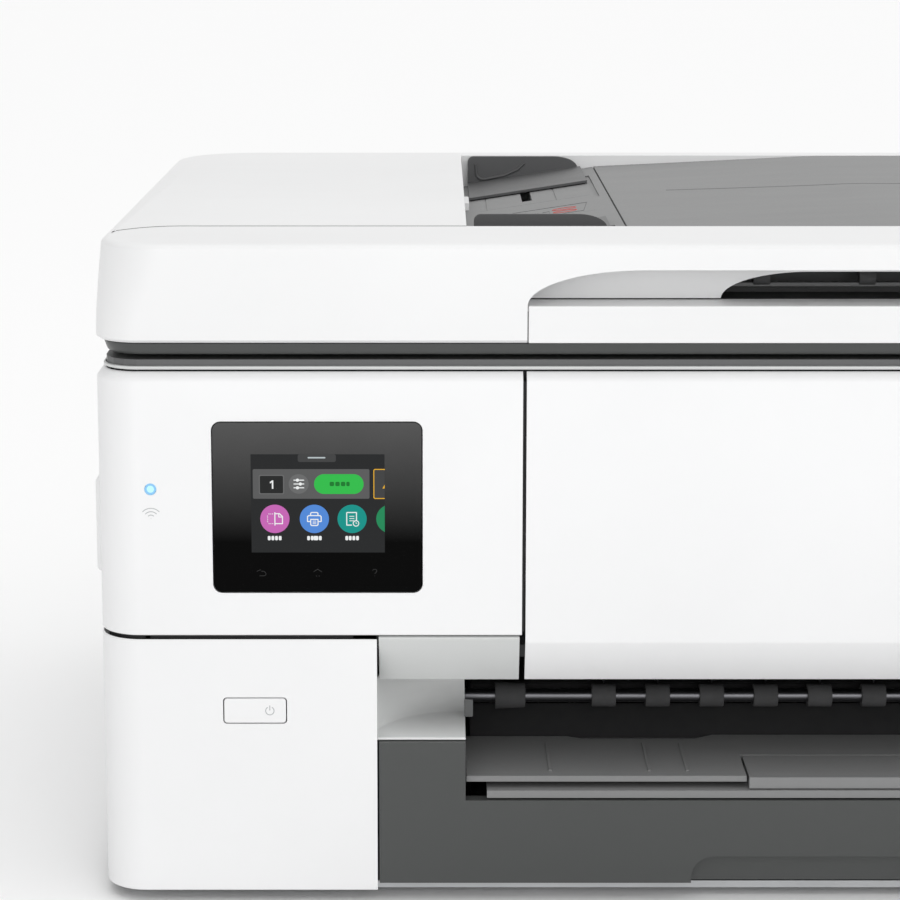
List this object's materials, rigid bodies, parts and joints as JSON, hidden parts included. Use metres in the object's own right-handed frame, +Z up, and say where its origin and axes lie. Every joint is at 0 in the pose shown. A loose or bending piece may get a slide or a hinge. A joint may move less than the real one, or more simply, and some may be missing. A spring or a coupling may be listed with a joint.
{
  "type": "inkjet printer",
  "caption": "Wide-format all-in-one inkjet printer with a touch display, a document feeder in its scanner lid, a front ink door, an output bay and a paper cassette.",
  "frame": {"origin": "on the table under the middle of the printer's bounding box", "axes": "+X to the right as seen from the front, +Y to the back, +Z up"},
  "size_m": [0.5918, 0.3983, 0.279],
  "materials": {
    "control_panel_cover": "fine moulded texture",
    "lower_left_cover": "fine moulded texture",
    "right_front_cover": "fine moulded texture",
    "left_side_cover": "fine moulded texture",
    "right_side_cover": "fine moulded texture",
    "rear_cover": "fine moulded texture",
    "rear_access_door": "fine moulded texture",
    "power_button": "fine moulded texture",
    "lid_shell": "fine moulded texture",
    "lid_front_panel": "fine moulded texture",
    "feeder_cover": "fine moulded texture",
    "front_door": "fine moulded texture",
    "platen_pad": "fine moulded texture",
    "bay_trim": "fine moulded texture",
    "bay_left_wall": "fine moulded texture",
    "bay_right_wall": "fine moulded texture",
    "output_chute": "fine moulded texture",
    "status_light": "fine moulded texture",
    "input_tray": "fine moulded texture",
    "input_flap": "fine moulded texture",
    "scanner_bezel": "fine moulded texture",
    "cassette": "fine moulded texture",
    "lid_skirt": "fine moulded texture",
    "rear_guide": "fine moulded texture",
    "front_guide": "fine moulded texture",
    "output_deck": "fine moulded texture",
    "output_extension": "fine moulded texture",
    "paper_stop": "fine moulded texture",
    "width_guide_left": "fine moulded texture",
    "width_guide_right": "fine moulded texture",
    "length_guide": "fine moulded texture",
    "exit_roller": "fine moulded texture",
    "print_platen": "fine moulded texture",
    "carriage": "fine moulded texture",
    "service_station": "fine moulded texture",
    "scanner_tub": "fine moulded texture",
    "power_supply": "fine moulded texture",
    "display_module": "fine moulded texture",
    "display_glass": "polished black",
    "power_inlet": "moulded",
    "scan_bar": "moulded",
    "scanner_glass": "clear",
    "main_board": "circuit board",
    "feed_roller": "matt rubber",
    "pick_roller": "matt rubber",
    "feeder_roller": "matt rubber",
    "foot_front_left": "matt rubber",
    "foot_front_right": "matt rubber",
    "foot_back_left": "matt rubber",
    "foot_back_right": "matt rubber",
    "chassis": "zinc plated",
    "carriage_rod": "zinc plated",
    "carriage_motor": "zinc plated",
    "scan_rod": "zinc plated",
    "lid_hinge_left": "zinc plated",
    "lid_hinge_right": "zinc plated",
    "cartridge_yellow": "moulded",
    "cartridge_magenta": "moulded",
    "cartridge_cyan": "moulded",
    "cartridge_black": "moulded"
  },
  "bodies": {
    "printer_body": {"control_panel_cover": "control_panel_cover", "lower_left_cover": "lower_left_cover", "right_front_cover": "right_front_cover", "left_side_cover": "left_side_cover", "right_side_cover": "right_side_cover", "rear_cover": "rear_cover", "bay_trim": "bay_trim", "bay_left_wall": "bay_left_wall", "bay_right_wall": "bay_right_wall", "status_light": "status_light", "scanner_bezel": "scanner_bezel", "output_deck": "output_deck", "print_platen": "print_platen", "service_station": "service_station", "scanner_tub": "scanner_tub", "power_supply": "power_supply", "display_module": "display_module", "display_glass": "display_glass", "power_inlet": "power_inlet", "scanner_glass": "scanner_glass", "main_board": "main_board", "foot_front_left": "foot_front_left", "foot_front_right": "foot_front_right", "foot_back_left": "foot_back_left", "foot_back_right": "foot_back_right", "chassis": "chassis", "carriage_rod": "carriage_rod", "carriage_motor": "carriage_motor", "scan_rod": "scan_rod", "lid_hinge_left": "lid_hinge_left", "lid_hinge_right": "lid_hinge_right"},
    "scan_lid": {"lid_shell": "lid_shell", "lid_front_panel": "lid_front_panel", "lid_skirt": "lid_skirt", "platen_pad": "platen_pad", "output_chute": "output_chute", "input_tray": "input_tray"},
    "feeder_cover": {"feeder_cover": "feeder_cover"},
    "input_flap": {"input_flap": "input_flap"},
    "rear_guide": {"rear_guide": "rear_guide"},
    "front_guide": {"front_guide": "front_guide"},
    "pick_roller": {"pick_roller": "pick_roller"},
    "feeder_roller": {"feeder_roller": "feeder_roller"},
    "front_door": {"front_door": "front_door"},
    "power_button": {"power_button": "power_button"},
    "carriage": {"carriage": "carriage"},
    "cartridge_yellow": {"cartridge_yellow": "cartridge_yellow"},
    "cartridge_magenta": {"cartridge_magenta": "cartridge_magenta"},
    "cartridge_cyan": {"cartridge_cyan": "cartridge_cyan"},
    "cartridge_black": {"cartridge_black": "cartridge_black"},
    "scan_bar": {"scan_bar": "scan_bar"},
    "cassette": {"cassette": "cassette"},
    "width_guide_left": {"width_guide_left": "width_guide_left"},
    "width_guide_right": {"width_guide_right": "width_guide_right"},
    "length_guide": {"length_guide": "length_guide"},
    "output_extension": {"output_extension": "output_extension"},
    "paper_stop": {"paper_stop": "paper_stop"},
    "exit_roller": {"exit_roller": "exit_roller"},
    "feed_roller": {"feed_roller": "feed_roller"},
    "rear_access_door": {"rear_access_door": "rear_access_door"}
  },
  "joints": [
    {"name": "lid_hinge", "type": "hinge", "parent": "printer_body", "child": "scan_lid", "pos_m": [0, 0.18, 0.234], "axis": [-1, 0, 0], "range_deg": [0, 80]},
    {"name": "feeder_cover_hinge", "type": "hinge", "parent": "scan_lid", "child": "feeder_cover", "pos_m": [-0.2905, 0, 0.2704], "axis": [0, -1, 0], "range_deg": [0, 90]},
    {"name": "input_flap_hinge", "type": "hinge", "parent": "scan_lid", "child": "input_flap", "pos_m": [-0.0665, 0, 0.2732], "axis": [0, -1, 0], "range_deg": [0, 70]},
    {"name": "rear_guide_slide", "type": "slide", "parent": "scan_lid", "child": "rear_guide", "axis": [0, -1, 0], "range_m": [0, 0.07]},
    {"name": "front_guide_slide", "type": "slide", "parent": "scan_lid", "child": "front_guide", "axis": [0, 1, 0], "range_m": [0, 0.07]},
    {"name": "feeder_roller_spin", "type": "hinge", "parent": "scan_lid", "child": "feeder_roller", "pos_m": [-0.2, 0, 0.2585], "axis": [0, 1, 0], "continuous": true},
    {"name": "pick_roller_spin", "type": "hinge", "parent": "scan_lid", "child": "pick_roller", "pos_m": [-0.16, 0, 0.2654], "axis": [0, 1, 0], "continuous": true},
    {"name": "front_door_hinge", "type": "hinge", "parent": "printer_body", "child": "front_door", "pos_m": [0.04695, -0.19, 0.099], "axis": [1, 0, 0], "range_deg": [0, 90]},
    {"name": "power_button_press", "type": "slide", "parent": "printer_body", "child": "power_button", "axis": [0, 1, 0], "range_m": [0, 0.0015], "stiffness_N_per_m": 300},
    {"name": "carriage_slide", "type": "slide", "parent": "printer_body", "child": "carriage", "axis": [-1, 0, 0], "range_m": [0, 0.3]},
    {"name": "cartridge_yellow_slide", "type": "slide", "parent": "carriage", "child": "cartridge_yellow", "axis": [0, -1, 0], "range_m": [0, 0.025]},
    {"name": "cartridge_magenta_slide", "type": "slide", "parent": "carriage", "child": "cartridge_magenta", "axis": [0, -1, 0], "range_m": [0, 0.025]},
    {"name": "cartridge_cyan_slide", "type": "slide", "parent": "carriage", "child": "cartridge_cyan", "axis": [0, -1, 0], "range_m": [0, 0.025]},
    {"name": "cartridge_black_slide", "type": "slide", "parent": "carriage", "child": "cartridge_black", "axis": [0, -1, 0], "range_m": [0, 0.025]},
    {"name": "scan_bar_slide", "type": "slide", "parent": "printer_body", "child": "scan_bar", "axis": [1, 0, 0], "range_m": [0, 0.41]},
    {"name": "cassette_slide", "type": "slide", "parent": "printer_body", "child": "cassette", "axis": [0, -1, 0], "range_m": [0, 0.22]},
    {"name": "width_guide_left_slide", "type": "slide", "parent": "cassette", "child": "width_guide_left", "axis": [1, 0, 0], "range_m": [0, 0.096]},
    {"name": "width_guide_right_slide", "type": "slide", "parent": "cassette", "child": "width_guide_right", "axis": [-1, 0, 0], "range_m": [0, 0.096]},
    {"name": "length_guide_slide", "type": "slide", "parent": "cassette", "child": "length_guide", "axis": [0, -1, 0], "range_m": [0, 0.14]},
    {"name": "output_extension_slide", "type": "slide", "parent": "printer_body", "child": "output_extension", "axis": [0, -1, 0], "range_m": [0, 0.12]},
    {"name": "paper_stop_hinge", "type": "hinge", "parent": "output_extension", "child": "paper_stop", "pos_m": [0.016, -0.197, 0.0492], "axis": [1, 0, 0], "range_deg": [0, 80]},
    {"name": "feed_roller_spin", "type": "hinge", "parent": "printer_body", "child": "feed_roller", "pos_m": [0, -0.066, 0.073], "axis": [1, 0, 0], "continuous": true},
    {"name": "exit_roller_spin", "type": "hinge", "parent": "printer_body", "child": "exit_roller", "pos_m": [0, -0.139, 0.0715], "axis": [1, 0, 0], "continuous": true},
    {"name": "rear_access_door_hinge", "type": "hinge", "parent": "printer_body", "child": "rear_access_door", "pos_m": [0.016, 0.199, 0.0605], "axis": [-1, 0, 0], "range_deg": [0, 75]}
  ],
  "couplings": [
    {"joint": "front_guide_slide", "follows": "rear_guide_slide", "ratio": 1},
    {"joint": "pick_roller_spin", "follows": "feeder_roller_spin", "ratio": 1.3846},
    {"joint": "width_guide_right_slide", "follows": "width_guide_left_slide", "ratio": 1},
    {"joint": "exit_roller_spin", "follows": "feed_roller_spin", "ratio": 1.6}
  ]
}
